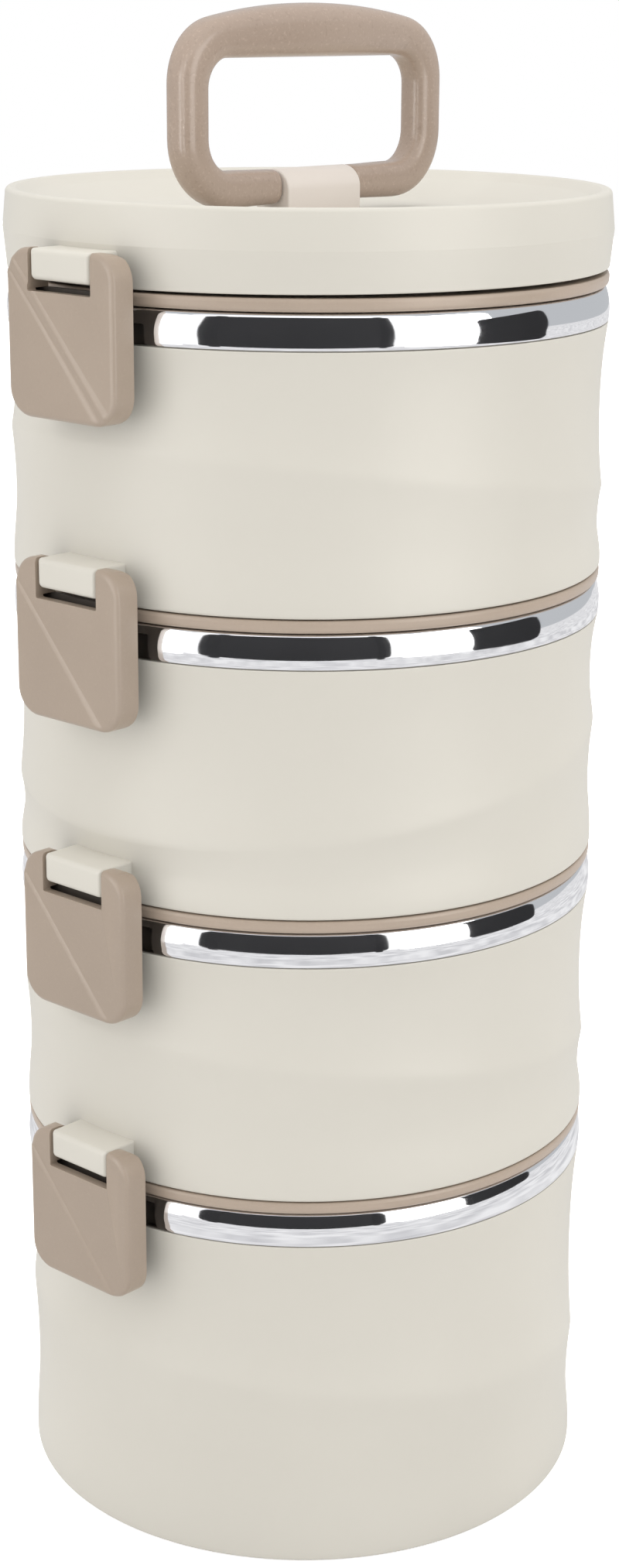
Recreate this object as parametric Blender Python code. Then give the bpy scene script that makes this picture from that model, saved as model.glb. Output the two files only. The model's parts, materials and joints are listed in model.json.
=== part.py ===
"""Four-tier stacking lunch carrier (tiffin) with side clips and a swivelling carry handle.

Frame: +Z up, origin at the centre of the foot ring, on the surface the carrier stands on.
The clips lie on +X and -X, and the handle's bar lies along X. All sizes are in metres.
Tier 4 is the tall bottom bowl, tier 1 the top one. Each tier is a steel bowl in a plastic
shell, closed by a sealing lid that carries the next tier. The outer lid carries the handle.
"""
import math

import bmesh
import bpy
from mathutils import Matrix, Vector

MM = 0.001

# Driving dimensions -------------------------------------------------------------------------
BODY_R = 69.5 * MM          # outer radius of the tiers
LID_R = 70.0 * MM           # outer radius of the lid at its crease
BOTTOM_TIER_H = 93.9 * MM   # height from the table to the bottom tier's joint plane
TIER_PITCH = 68.0 * MM      # height of every other tier
TIER_COUNT = 4
LID_H = 18.2 * MM           # from the top joint plane to the lid's rim
HANDLE_TOP = 356.0 * MM     # top of the grip above the table
GAP = 0.3 * MM              # clearance between touching pieces

SHELL_WALL = 2.4 * MM
STEEL = 0.7 * MM
BAND_H = 7.5 * MM           # visible height of the bowl's folded steel rim
FLANGE_H = 3.2 * MM         # visible height of a sealing lid's flange
FOOT_H = 1.3 * MM           # thickness of the foot ring under the bottom tier
FOOT_SHOW = 0.4 * MM        # how far the foot ring stands below the bottom shell
BASE_RECESS = 1.2 * MM      # depth of the recess under every tier
BASE_WALL = 2.2 * MM        # thickness of a shell's floor

CLIP_W = 32.8 * MM
CLIP_H = 36.0 * MM
CLIP_T = 6.3 * MM
CLIP_FRONT = 78.1 * MM      # distance of the clip's outer face from the axis
CLIP_RISE = 7.2 * MM        # how far a clip reaches above its datum
LID_CLIP_LIFT = 1.0 * MM    # datum of the lid's clips above the joint plane
TIER_CLIP_LIFT = 2.3 * MM   # datum of the other clips above their joint planes
NOTCH_W = 19.3 * MM
NOTCH_D = 9.0 * MM
HINGE_IN = 3.6 * MM         # hinge axis behind the clip's outer face and below its top
PIN_R = 1.0 * MM

HANDLE_HALF = 39.0 * MM     # half the distance between the centres of the handle's legs
BAR_Z = 316.2 * MM          # the handle's swivel axis
BAR_R = 3.9 * MM
LEG_R = 4.35 * MM
JOURNAL_R = 2.6 * MM
GRIP_UNDER = 343.8 * MM     # flat underside of the grip
CORNER_R = 11.2 * MM        # corner radius of the handle's centre line
SADDLE_HALF = 12.2 * MM
SADDLE_W = 10.2 * MM
DISH_Z = 309.4 * MM         # floor of the dish in the lid's top
DISH_R = 53.0 * MM          # radius of that floor, inside the sloping wall

SEGMENTS = 32
SMALL = 12

BOWL_R = BODY_R - SHELL_WALL - 0.8 * MM     # outside of a steel bowl's wall
BOWL_INSIDE_R = BOWL_R - STEEL
VENT_HOLE_R = 4.0 * MM
SCREW_X = 9.2 * MM
SCREW_R = 1.2 * MM

joint_plane = {tier: BOTTOM_TIER_H + (TIER_COUNT - tier) * TIER_PITCH
               for tier in range(1, TIER_COUNT + 1)}
# Datum height of the two clips at each joint, with the lugs and ledges that go with them.
clip_datum = {tier: joint_plane[tier] + (TIER_CLIP_LIFT if tier > 1 else LID_CLIP_LIFT)
              for tier in joint_plane}
LID_Z = joint_plane[1]
RIM_Z = LID_Z + LID_H
HINGE_X = CLIP_FRONT - HINGE_IN

COLOURS = {
    "ivory": ((0.74, 0.71, 0.65, 1), 0.45, 0.0),
    "taupe": ((0.48, 0.39, 0.31, 1), 0.5, 0.0),
    "steel": ((0.8, 0.8, 0.82, 1), 0.08, 1.0),
    "silicone": ((0.62, 0.6, 0.57, 1), 0.6, 0.0),
}


def clear_scene():
    for thing in list(bpy.data.objects):
        bpy.data.objects.remove(thing, do_unlink=True)


def material(kind, name):
    colour, roughness, metallic = COLOURS[kind]
    made = bpy.data.materials.new(name)
    made.use_nodes = True
    shader = made.node_tree.nodes["Principled BSDF"]
    shader.inputs["Base Color"].default_value = colour
    shader.inputs["Roughness"].default_value = roughness
    shader.inputs["Metallic"].default_value = metallic
    return made


def finish(name, work, kind, smooth=True):
    """Turn a bmesh into a named object with its own material."""
    bmesh.ops.recalc_face_normals(work, faces=work.faces)
    mesh = bpy.data.meshes.new(name)
    work.to_mesh(mesh)
    work.free()
    if smooth:
        mesh.shade_smooth()
        mesh.set_sharp_from_angle(angle=math.radians(35))
    made = bpy.data.objects.new(name, mesh)
    bpy.context.collection.objects.link(made)
    made.data.materials.append(material(kind, name + "_material"))
    return made


def cutter(name, work):
    """A hidden shape that a Boolean modifier uses."""
    made = finish(name, work, "silicone", smooth=False)
    made.hide_render = True
    made.display_type = "WIRE"
    return made


def boolean(target, tool, operation):
    step = target.modifiers.new(tool.name, "BOOLEAN")
    step.object = tool
    step.operation = operation
    step.solver = "EXACT"


def turned(work, profile, segments=SEGMENTS, centre=(0, 0)):
    """Spin a closed (radius, height) outline about a vertical line through centre."""
    rings = []
    for radius, height in profile:
        if radius == 0:
            rings.append([work.verts.new((centre[0], centre[1], height))])
            continue
        ring = []
        for step in range(segments):
            turn = 2 * math.pi * step / segments
            ring.append(work.verts.new((centre[0] + radius * math.cos(turn),
                                        centre[1] + radius * math.sin(turn), height)))
        rings.append(ring)
    for lower, upper in zip(rings, rings[1:] + rings[:1]):
        for step in range(segments):
            after = (step + 1) % segments
            corners = [lower[step % len(lower)], lower[after % len(lower)],
                       upper[after % len(upper)], upper[step % len(upper)]]
            distinct = list(dict.fromkeys(corners))
            if len(distinct) > 2:
                work.faces.new(distinct)


def add_turned(name, profile, kind, segments=SEGMENTS, centre=(0, 0)):
    work = bmesh.new()
    turned(work, profile, segments, centre)
    return finish(name, work, kind)


def add_block(work, low, high):
    size = Vector(high) - Vector(low)
    middle = (Vector(high) + Vector(low)) / 2
    place = Matrix.Translation(middle) @ Matrix.Diagonal((*size, 1))
    bmesh.ops.create_cube(work, size=1, matrix=place)


def add_prism(work, outline, start, end, along):
    """Extrude a closed outline of 2-D points from start to end along X, Y or Z."""
    def point(a, b, depth):
        return {"x": (depth, a, b), "y": (a, depth, b), "z": (a, b, depth)}[along]
    near = [work.verts.new(point(a, b, start)) for a, b in outline]
    far = [work.verts.new(point(a, b, end)) for a, b in outline]
    work.faces.new(near)
    work.faces.new(list(reversed(far)))
    count = len(outline)
    for step in range(count):
        after = (step + 1) % count
        work.faces.new((near[step], far[step], far[after], near[after]))


def arc(centre, radius, start, end, steps):
    """Points on an arc, with angles in degrees."""
    points = []
    for step in range(steps + 1):
        turn = math.radians(start + (end - start) * step / steps)
        points.append((centre[0] + radius * math.cos(turn),
                       centre[1] + radius * math.sin(turn)))
    return points


def hinge_hole(work, side, datum, half_length):
    """The round hole of a clip's pin, across the lug or the ears."""
    centre = (side * HINGE_X, datum + CLIP_RISE - HINGE_IN)
    outline = arc(centre, PIN_R + GAP, 0, 360 - 360 / SMALL, SMALL - 1)
    add_prism(work, outline, -half_length, half_length, "y")


# Pieces of a tier ---------------------------------------------------------------------------
def tier_bottom(tier):
    """Height of a tier's lower edge."""
    return joint_plane[tier + 1] if tier < TIER_COUNT else FOOT_SHOW


def shell_profile(bottom, plane):
    """Outline of a tier's plastic shell: a waisted cup with a neck inside the steel band."""
    band_foot = plane - FLANGE_H - GAP - BAND_H
    outer = BODY_R - 0.2 * MM
    neck_outer = BODY_R - STEEL - GAP
    inner = BOWL_R + GAP
    height = band_foot - bottom
    return [
        (0, bottom + BASE_RECESS),
        (BODY_R - 8.0 * MM, bottom + BASE_RECESS),
        (BODY_R - 7.0 * MM, bottom),
        (outer - 0.4 * MM, bottom),
        (outer, bottom + 3.0 * MM),
        (outer - 1.0 * MM, bottom + 0.2 * height),
        (outer - 0.3 * MM, bottom + 0.4 * height),
        (outer - 1.0 * MM, bottom + 0.7 * height),
        (outer, band_foot - 2.0 * MM),
        (outer, band_foot - GAP),
        (neck_outer, band_foot - GAP),
        (neck_outer, plane - FLANGE_H - 2 * GAP - STEEL),
        (inner, plane - FLANGE_H - 2 * GAP - STEEL),
        (inner, bottom + BASE_RECESS + BASE_WALL),
        (0, bottom + BASE_RECESS + BASE_WALL),
    ]


def lug(work, side, datum):
    """The block a clip hangs from, moulded on the piece above the joint."""
    wall_in = BODY_R - 2.1 * MM
    face = CLIP_FRONT - 0.5 * MM
    half = NOTCH_W / 2 - 0.4 * MM
    soft = 1.2 * MM
    foot = datum + 0.5 * MM
    top = datum + CLIP_RISE
    outline = [
        (side * wall_in, foot + 0.3 * MM),
        (side * (face - soft), foot),
        (side * face, foot + soft),
        (side * face, top - soft),
        (side * (face - soft), top),
        (side * wall_in, top),
    ]
    add_prism(work, outline, -half, half, "y")


def catch(work, side, datum):
    """The ledge that a clip's hook snaps under, moulded on the piece below the joint."""
    top = datum - 13.6 * MM
    reach = CLIP_FRONT - CLIP_T - GAP
    wall_in = BODY_R - 2.1 * MM
    outline = [
        (side * wall_in, top - 4.4 * MM),
        (side * reach, top - 3.0 * MM),
        (side * reach, top - 1.6 * MM),
        (side * wall_in, top),
    ]
    add_prism(work, outline, -6.5 * MM, 6.5 * MM, "y")


def add_shell(tier):
    plane = joint_plane[tier]
    name = f"tier_{tier}_shell"
    has_lugs = tier < TIER_COUNT
    bottom = tier_bottom(tier)
    shell = add_turned(name, shell_profile(bottom, plane), "ivory")
    fittings = bmesh.new()
    for side in (-1, 1):
        catch(fittings, side, clip_datum[tier])
        if has_lugs:
            lug(fittings, side, clip_datum[tier + 1])
    boolean(shell, cutter(name + "_fittings", fittings), "UNION")
    if has_lugs:
        holes = bmesh.new()
        for side in (-1, 1):
            hinge_hole(holes, side, clip_datum[tier + 1], NOTCH_W)
        boolean(shell, cutter(name + "_pin_holes", holes), "DIFFERENCE")
    return shell


def add_bowl(tier):
    """The steel bowl: its rim folds out and down into the polished band."""
    plane = joint_plane[tier]
    bottom = tier_bottom(tier) + BASE_RECESS + BASE_WALL + GAP
    top = plane - FLANGE_H - GAP
    outer = BOWL_R
    inner = BOWL_INSIDE_R
    heel = 6.0 * MM
    profile = [
        (0, bottom),
        (outer - heel, bottom),
        (outer, bottom + heel),
        (outer, top - STEEL),
        (BODY_R - STEEL, top - STEEL),
        (BODY_R - STEEL, top - BAND_H),
        (BODY_R, top - BAND_H),
        (BODY_R, top - 0.3 * MM),
        (BODY_R - 0.3 * MM, top),
        (inner, top),
        (inner, bottom + heel + 0.3 * MM),
        (inner - heel + 0.3 * MM, bottom + STEEL),
        (0, bottom + STEEL),
    ]
    return add_turned(f"tier_{tier}_bowl", profile, "steel")


def add_inner_lid(tier):
    """The sealing lid: flange on the bowl's rim, dished plate, groove for the seal ring."""
    plane = joint_plane[tier]
    top = plane - GAP
    foot = plane - FLANGE_H
    skirt = BOWL_INSIDE_R - 0.5 * MM
    groove = skirt - 2.2 * MM
    profile = [
        (VENT_HOLE_R, foot - 3.4 * MM),
        (groove - 2.4 * MM, foot - 3.4 * MM),
        (groove - 1.4 * MM, top),
        (BODY_R - 0.7 * MM, top),
        (BODY_R - 0.3 * MM, top - 0.8 * MM),
        (BODY_R - 0.6 * MM, foot),
        (skirt, foot),
        (skirt, foot - 3.0 * MM),
        (groove, foot - 3.0 * MM),
        (groove, foot - 6.6 * MM),
        (skirt, foot - 6.6 * MM),
        (skirt, foot - 8.0 * MM),
        (groove - 1.6 * MM, foot - 8.0 * MM),
        (groove - 1.6 * MM, foot - 5.2 * MM),
        (VENT_HOLE_R, foot - 5.2 * MM),
    ]
    return add_turned(f"tier_{tier}_inner_lid", profile, "taupe")


def add_seal(tier):
    """The silicone ring in the sealing lid's groove."""
    foot = joint_plane[tier] - FLANGE_H
    outer = BOWL_INSIDE_R - GAP
    inner = BOWL_INSIDE_R - 2.4 * MM
    profile = [
        (inner, foot - 6.3 * MM),
        (outer, foot - 5.4 * MM),
        (outer, foot - 4.2 * MM),
        (inner, foot - 3.3 * MM),
    ]
    return add_turned(f"tier_{tier}_seal_ring", profile, "silicone")


def add_vent_plug(tier):
    """The soft plug that lets steam out of a closed bowl when it is pulled up."""
    foot = joint_plane[tier] - FLANGE_H
    stem = VENT_HOLE_R - GAP
    profile = [
        (0, foot - 6.2 * MM),
        (stem - 0.6 * MM, foot - 6.2 * MM),
        (stem, foot - 4.8 * MM),
        (stem, foot - 3.1 * MM),
        (stem + 2.6 * MM, foot - 3.1 * MM),
        (stem + 2.2 * MM, foot - 1.9 * MM),
        (0, foot - 1.9 * MM),
    ]
    return add_turned(f"tier_{tier}_vent_plug", profile, "silicone", SMALL)


# Clips --------------------------------------------------------------------------------------
def add_clip(name, side, datum):
    """A side clip: rounded plate with two ears, a hollow back and a hook near its foot."""
    top = datum + CLIP_RISE
    foot = top - CLIP_H
    half = CLIP_W / 2
    front = CLIP_FRONT
    back = CLIP_FRONT - CLIP_T
    hinge_z = top - HINGE_IN
    notch_half = NOTCH_W / 2
    notch_z = top - NOTCH_D
    top_r = 6.0 * MM
    foot_r = 6.3 * MM
    outline = (
        arc((half - foot_r, foot + foot_r), foot_r, -90, 0, 4)
        + arc((half - top_r, top - top_r), top_r, 0, 90, 3)
        + [(notch_half, top), (notch_half, notch_z), (-notch_half, notch_z), (-notch_half, top)]
        + arc((top_r - half, top - top_r), top_r, 90, 180, 3)
        + arc((foot_r - half, foot + foot_r), foot_r, 180, 270, 4)
    )
    work = bmesh.new()
    add_prism(work, outline, side * back, side * front, "x")
    clip = finish(name, work, "taupe", smooth=False)

    # The side view rounds the ears about the pin and softens the outer face.
    keep = bmesh.new()
    ear_r = HINGE_IN - 0.1 * MM
    soft = 1.4 * MM
    side_view = (
        arc((HINGE_X, hinge_z), ear_r, 180, 90, 4)
        + arc((front - soft, top - soft), soft, 90, 0, 2)
        + arc((front - soft, foot + soft), soft, 0, -90, 2)
        + [(back, foot)]
    )
    add_prism(keep, [(side * x, z) for x, z in side_view], -half - MM, half + MM, "y")
    boolean(clip, cutter(name + "_side_view", keep), "INTERSECT")

    # Hollow back, leaving the hook across it; the hook clears the catch ledge by the usual gap.
    pocket = bmesh.new()
    wall = 2.6 * MM
    hook_top = datum - 17.4 * MM
    hook_foot = hook_top - 2.0 * MM
    inner_face = front - 2.4 * MM
    behind = back - MM
    low_y, high_y = -half + wall, half - wall
    spans = [(hook_top, notch_z + 0.5 * MM), (foot + wall + 1.5 * MM, hook_foot)]
    for low_z, high_z in spans:
        x_pair = sorted((side * behind, side * inner_face))
        add_block(pocket, (x_pair[0], low_y, low_z), (x_pair[1], high_y, high_z))
    boolean(clip, cutter(name + "_pocket", pocket), "DIFFERENCE")

    holes = bmesh.new()
    hinge_hole(holes, side, datum, half - 2.0 * MM)
    boolean(clip, cutter(name + "_pin_hole", holes), "DIFFERENCE")
    set_origin(clip, (side * HINGE_X, 0, hinge_z))
    return clip


def add_pin(name, side, datum):
    half = CLIP_W / 2 - 2.4 * MM
    centre = (side * HINGE_X, datum + CLIP_RISE - HINGE_IN)
    work = bmesh.new()
    outline = arc(centre, PIN_R, 0, 360 - 360 / SMALL, SMALL - 1)
    add_prism(work, outline, -half, half, "y")
    return finish(name, work, "steel")


def set_origin(thing, place):
    """Move an object's origin onto its joint's axis without moving its shape."""
    thing.data.transform(Matrix.Translation(-Vector(place)))
    thing.location = place


# Lid and handle -----------------------------------------------------------------------------
def add_lid_shell():
    """The outer lid: a skirt with a crease at mid-height and a shallow dish on top."""
    foot = LID_Z + 0.5 * MM
    crease = LID_Z + 9.6 * MM
    wall = 2.2 * MM
    profile = [
        (LID_R - 0.7 * MM, foot),
        (LID_R, crease),
        (LID_R - 0.9 * MM, RIM_Z - 0.8 * MM),
        (LID_R - 1.6 * MM, RIM_Z),
        (LID_R - 3.2 * MM, RIM_Z - 0.4 * MM),
        (LID_R - 6.0 * MM, RIM_Z - 2.1 * MM),
        (DISH_R, DISH_Z),
        (0, DISH_Z),
        (0, DISH_Z - wall),
        (DISH_R + 0.5 * MM, DISH_Z - wall),
        (LID_R - 5.1 * MM, RIM_Z - 4.2 * MM),
        (LID_R - 0.7 * MM - wall, RIM_Z - 6.1 * MM),
        (LID_R - 0.7 * MM - wall, foot),
    ]
    shell = add_turned("lid_shell", profile, "ivory")
    fittings = bmesh.new()
    for side in (-1, 1):
        lug(fittings, side, clip_datum[1])
    boolean(shell, cutter("lid_lugs", fittings), "UNION")
    holes = bmesh.new()
    for side in (-1, 1):
        hinge_hole(holes, side, clip_datum[1], NOTCH_W)
        screw_hole(holes, side, DISH_Z - 2 * wall, DISH_Z + MM)
    boolean(shell, cutter("lid_holes", holes), "DIFFERENCE")
    return shell


def screw_hole(work, side, low, high):
    outline = arc((side * SCREW_X, 0), SCREW_R + GAP, 0, 360 - 360 / SMALL, SMALL - 1)
    add_prism(work, outline, low, high, "z")


def add_lid_panel():
    """The plate that closes the underside of the hollow lid."""
    radius = LID_R - 3.2 * MM
    low = LID_Z + 1.4 * MM
    profile = [(0, low), (radius - 0.8 * MM, low), (radius - 0.8 * MM, low + 2.0 * MM),
               (0, low + 2.0 * MM)]
    return add_turned("lid_inner_panel", profile, "ivory")


def add_saddle():
    """The arch that holds the handle's bar down on the lid."""
    foot = DISH_Z + GAP
    half = SADDLE_W / 2
    top = BAR_Z + BAR_R + 0.05 * MM
    spring = top - half * 0.92
    outline = [(-half, foot), (half, foot)]
    outline += [(x, spring + (z - spring) * 0.92)
                for x, z in arc((0, spring), half, 0, 180, 8)]
    work = bmesh.new()
    add_prism(work, outline, -SADDLE_HALF, SADDLE_HALF, "x")
    saddle = finish("handle_saddle", work, "ivory")
    holes = bmesh.new()
    bore = arc((0, BAR_Z), JOURNAL_R + GAP, 0, 360 - 360 / 16, 15)
    add_prism(holes, bore, -SADDLE_HALF - MM, SADDLE_HALF + MM, "x")
    boolean(saddle, cutter("saddle_bore", holes), "DIFFERENCE")
    pilots = bmesh.new()
    for side in (-1, 1):
        screw_hole(pilots, side, DISH_Z - MM, BAR_Z - JOURNAL_R - 3 * GAP)
    boolean(saddle, cutter("saddle_pilots", pilots), "DIFFERENCE")
    return saddle


def add_screw(side):
    head_top = DISH_Z - 2.2 * MM - GAP
    tip = BAR_Z - JOURNAL_R - 5 * GAP
    profile = [
        (0, head_top - 1.6 * MM),
        (2.6 * MM, head_top - 1.6 * MM),
        (2.6 * MM, head_top),
        (SCREW_R, head_top),
        (SCREW_R, tip - 0.6 * MM),
        (0, tip),
    ]
    return add_turned(f"saddle_screw_{'left' if side < 0 else 'right'}", profile, "steel",
                      SMALL, (side * SCREW_X, 0))


def handle_stations():
    """Centre line of the handle with its half thickness in and out of the loop's plane.

    The right half runs from the middle of the bar to the middle of the grip.
    """
    grip_half = (HANDLE_TOP - GRIP_UNDER) / 2
    corner_top = GRIP_UNDER + LEG_R - CORNER_R
    step_x = SADDLE_HALF + 0.4 * MM
    stations = [
        (0, BAR_Z, JOURNAL_R, JOURNAL_R),
        (step_x, BAR_Z, JOURNAL_R, JOURNAL_R),
        (step_x, BAR_Z, BAR_R, BAR_R),
        (HANDLE_HALF - CORNER_R - 3 * MM, BAR_Z, BAR_R, BAR_R),
    ]
    for x, z in arc((HANDLE_HALF - CORNER_R, BAR_Z + CORNER_R), CORNER_R, -90, 0, 4):
        stations.append((x, z, LEG_R, LEG_R))
    for x, z in arc((HANDLE_HALF - CORNER_R, corner_top), CORNER_R, 0, 90, 4):
        stations.append((x, z, LEG_R, LEG_R + 0.4 * MM))
    for share in (0.6, 0.3, 0.0):
        half = LEG_R + (grip_half - LEG_R) * (1 - share * share)
        x = (HANDLE_HALF - CORNER_R) * share
        stations.append((x, GRIP_UNDER + half, half, LEG_R + 0.4 * MM + (half - LEG_R)))
    return stations


def add_handle():
    half_loop = handle_stations()
    mirrored = [(-x, z, a, b) for x, z, a, b in reversed(half_loop[1:-1])]
    loop = half_loop + mirrored
    count = len(loop)
    middle = Vector((0, 0, (BAR_Z + GRIP_UNDER) / 2))
    work = bmesh.new()
    rings = []
    for index, (x, z, thick, deep) in enumerate(loop):
        before = loop[index - 1]
        after = loop[(index + 1) % count]
        along = Vector((after[0] - before[0], 0, after[1] - before[1]))
        if math.hypot(after[0] - x, after[1] - z) < 1e-9 \
                or math.hypot(before[0] - x, before[1] - z) < 1e-9:
            along = Vector((1, 0, 0))
        along.normalize()
        across = Vector((along.z, 0, -along.x))
        centre = Vector((x, 0, z))
        if across.dot(centre - middle) < 0:
            across.negate()
        ring = []
        for step in range(SMALL):
            turn = 2 * math.pi * step / SMALL
            offset = across * (thick * math.cos(turn)) + Vector((0, deep * math.sin(turn), 0))
            ring.append(work.verts.new(centre + offset))
        rings.append(ring)
    for ring, next_ring in zip(rings, rings[1:] + rings[:1]):
        for step in range(SMALL):
            after = (step + 1) % SMALL
            work.faces.new((ring[step], ring[after], next_ring[after], next_ring[step]))
    handle = finish("handle_loop", work, "taupe")
    set_origin(handle, (0, 0, BAR_Z))
    return handle


def add_foot_ring():
    """The soft ring that the carrier stands on."""
    inner, outer = BODY_R - 17.0 * MM, BODY_R - 8.5 * MM
    profile = [(inner, 0), (outer, 0), (outer, FOOT_H), (inner, FOOT_H)]
    return add_turned("foot_ring", profile, "silicone")


def build():
    clear_scene()
    add_foot_ring()
    for tier in range(1, TIER_COUNT + 1):
        add_shell(tier)
        add_bowl(tier)
        add_inner_lid(tier)
        add_seal(tier)
        add_vent_plug(tier)
        for side, word in ((-1, "left"), (1, "right")):
            add_clip(f"tier_{tier}_clip_{word}", side, clip_datum[tier])
            add_pin(f"tier_{tier}_clip_pin_{word}", side, clip_datum[tier])
    add_lid_shell()
    add_lid_panel()
    add_saddle()
    for side in (-1, 1):
        add_screw(side)
    add_handle()


build()
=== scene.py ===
"""Looks of the four-tier tiffin carrier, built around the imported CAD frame.

Places and main sizes come from the frame's boxes. The moulded shells, steel bowls, sealing
lids, clips, lid and handle are rebuilt here as fine meshes that ride on the CAD bodies.
"""
import json
import math

import bmesh
import bpy
from mathutils import Matrix, Vector


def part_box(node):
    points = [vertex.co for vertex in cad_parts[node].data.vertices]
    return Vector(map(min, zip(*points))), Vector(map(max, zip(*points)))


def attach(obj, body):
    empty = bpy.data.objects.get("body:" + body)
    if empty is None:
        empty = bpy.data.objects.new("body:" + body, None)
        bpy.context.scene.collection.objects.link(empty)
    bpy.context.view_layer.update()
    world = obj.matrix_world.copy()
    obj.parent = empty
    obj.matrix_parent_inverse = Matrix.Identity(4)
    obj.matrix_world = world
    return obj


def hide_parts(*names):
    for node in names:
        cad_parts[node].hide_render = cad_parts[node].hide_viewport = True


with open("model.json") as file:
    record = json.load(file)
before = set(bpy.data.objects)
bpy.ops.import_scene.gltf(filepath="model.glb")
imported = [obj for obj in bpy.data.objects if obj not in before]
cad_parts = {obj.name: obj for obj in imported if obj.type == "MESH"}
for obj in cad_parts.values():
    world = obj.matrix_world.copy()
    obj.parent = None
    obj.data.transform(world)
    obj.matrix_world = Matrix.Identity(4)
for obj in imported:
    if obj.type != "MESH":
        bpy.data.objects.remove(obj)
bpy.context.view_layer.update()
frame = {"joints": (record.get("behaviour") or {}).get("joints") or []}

MM = 0.001
GAP = 0.3 * MM              # clearance between neighbouring pieces
TIERS = (1, 2, 3, 4)        # from the top down
SIDES = (("left", -1), ("right", 1))
ROUND = 192                 # steps round a turned body
STEEL = 0.7 * MM            # thickness of the bowls' sheet
BAND_H = 7.5 * MM           # visible height of a bowl's folded rim

# Places read from the frame -------------------------------


def top_of(node):
    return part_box(node)[1].z


def foot_of(node):
    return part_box(node)[0].z


def reach_of(node):
    """Radius of a round node, measured across the clips' direction."""
    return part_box(node)[1].y


def centre_of(node):
    """Middle of a node, seen from above."""
    low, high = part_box(node)
    return (low.x + high.x) / 2, (low.y + high.y) / 2


BODY_R = reach_of("tier_1_bowl")
LID_R = reach_of("lid_shell")
RIM_Z = top_of("lid_shell")
BOTTOM = {tier: foot_of(f"tier_{tier}_shell") for tier in TIERS}
CLIP_LOW, CLIP_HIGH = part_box("tier_1_clip_right")
CLIP_TOP = {tier: top_of(f"tier_{tier}_clip_right") for tier in TIERS}
HINGES = {joint["child"]: Vector(joint["pos_m"])
          for joint in frame["joints"] if joint["type"] == "hinge"}
HINGE_X, _, HINGE_Z = HINGES["clip_1_right"]
HINGE_DROP = CLIP_HIGH.z - HINGE_Z
BAR_Z = HINGES["handle"].z


# Mesh tools -----------------------------------------------
def rounded(points, steps=5, closed=True):
    """Outline through (a, b, fillet) corners, with an arc at each corner that has a fillet."""
    result = []
    count = len(points)
    for index, (a, b, fillet) in enumerate(points):
        corner = Vector((a, b))
        at_end = not closed and index in (0, count - 1)
        if fillet <= 0 or at_end:
            result.append((a, b))
            continue
        before = Vector(points[index - 1][:2]) - corner
        after = Vector(points[(index + 1) % count][:2]) - corner
        half = before.angle(after) / 2
        cut = min(fillet / math.tan(half), 0.49 * before.length, 0.49 * after.length)
        radius = cut * math.tan(half)
        bisector = (before.normalized() + after.normalized()).normalized()
        centre = corner + bisector * (radius / math.sin(half))
        start = corner + before.normalized() * cut - centre
        end = corner + after.normalized() * cut - centre
        sweep = start.angle_signed(end)
        for step in range(steps + 1):
            turn = -sweep * step / steps
            arm = Matrix.Rotation(turn, 2) @ start
            result.append(tuple(centre + arm))
    return result


def rectangle(left, low, right, high, below, above, steps=5):
    """Rectangle with one fillet for its lower corners and one for its upper corners."""
    return rounded([(left, low, below), (right, low, below),
                    (right, high, above), (left, high, above)], steps)


def shade(mesh, smooth):
    """Shade a mesh smoothly, but keep edges sharper than smooth degrees crisp."""
    mesh.shade_smooth()
    mesh.set_sharp_from_angle(angle=math.radians(smooth))


def add_object(name, data):
    made = bpy.data.objects.new(name, data)
    bpy.context.scene.collection.objects.link(made)
    return made


def new_object(name, work, smooth=35):
    """Turn a bmesh into an object."""
    bmesh.ops.remove_doubles(work, verts=work.verts, dist=1e-7)
    bmesh.ops.recalc_face_normals(work, faces=work.faces)
    mesh = bpy.data.meshes.new(name)
    work.to_mesh(mesh)
    work.free()
    shade(mesh, smooth)
    return add_object(name, mesh)


def turned(outline, segments=ROUND, centre=(0, 0)):
    """Spin an outline about the vertical; an entry is (radius, height) or a function of angle."""
    work = bmesh.new()
    rings = []
    for entry in outline:
        ring = []
        for step in range(segments):
            turn = 2 * math.pi * step / segments
            radius, height = entry(turn) if callable(entry) else entry
            ring.append(work.verts.new((centre[0] + radius * math.cos(turn),
                                        centre[1] + radius * math.sin(turn), height)))
            if radius < 1e-6:
                break
        rings.append(ring)
    for lower, upper in zip(rings, rings[1:] + rings[:1]):
        for step in range(segments):
            after = (step + 1) % segments
            corners = [lower[step % len(lower)], lower[after % len(lower)],
                       upper[after % len(upper)], upper[step % len(upper)]]
            distinct = list(dict.fromkeys(corners))
            if len(distinct) > 2:
                work.faces.new(distinct)
    return work


def loft(rings, work=None, endless=False):
    """Skin a row of point rings, all of one length, into a solid; an endless row is a loop."""
    work = work or bmesh.new()
    rows = [[work.verts.new(point) for point in ring] for ring in rings]
    if endless:
        rows.append(rows[0])
    else:
        work.faces.new(rows[0])
        work.faces.new(list(reversed(rows[-1])))
    for lower, upper in zip(rows, rows[1:]):
        for step in range(len(lower)):
            after = (step + 1) % len(lower)
            work.faces.new((lower[step], upper[step], upper[after], lower[after]))
    return work


def prism(outline, start, end, along, work=None):
    """Extrude a closed 2-D outline between two depths along x, y or z, into work if given."""
    def point(a, b, depth):
        return {"x": (depth, a, b), "y": (a, depth, b), "z": (a, b, depth)}[along]
    return loft([[point(a, b, depth) for a, b in outline] for depth in (start, end)], work)


def quarter(steps, start=0):
    """Angles of a quarter turn in equal steps, from step start on."""
    return [math.pi / 2 * step / steps for step in range(start, steps + 1)]


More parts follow.
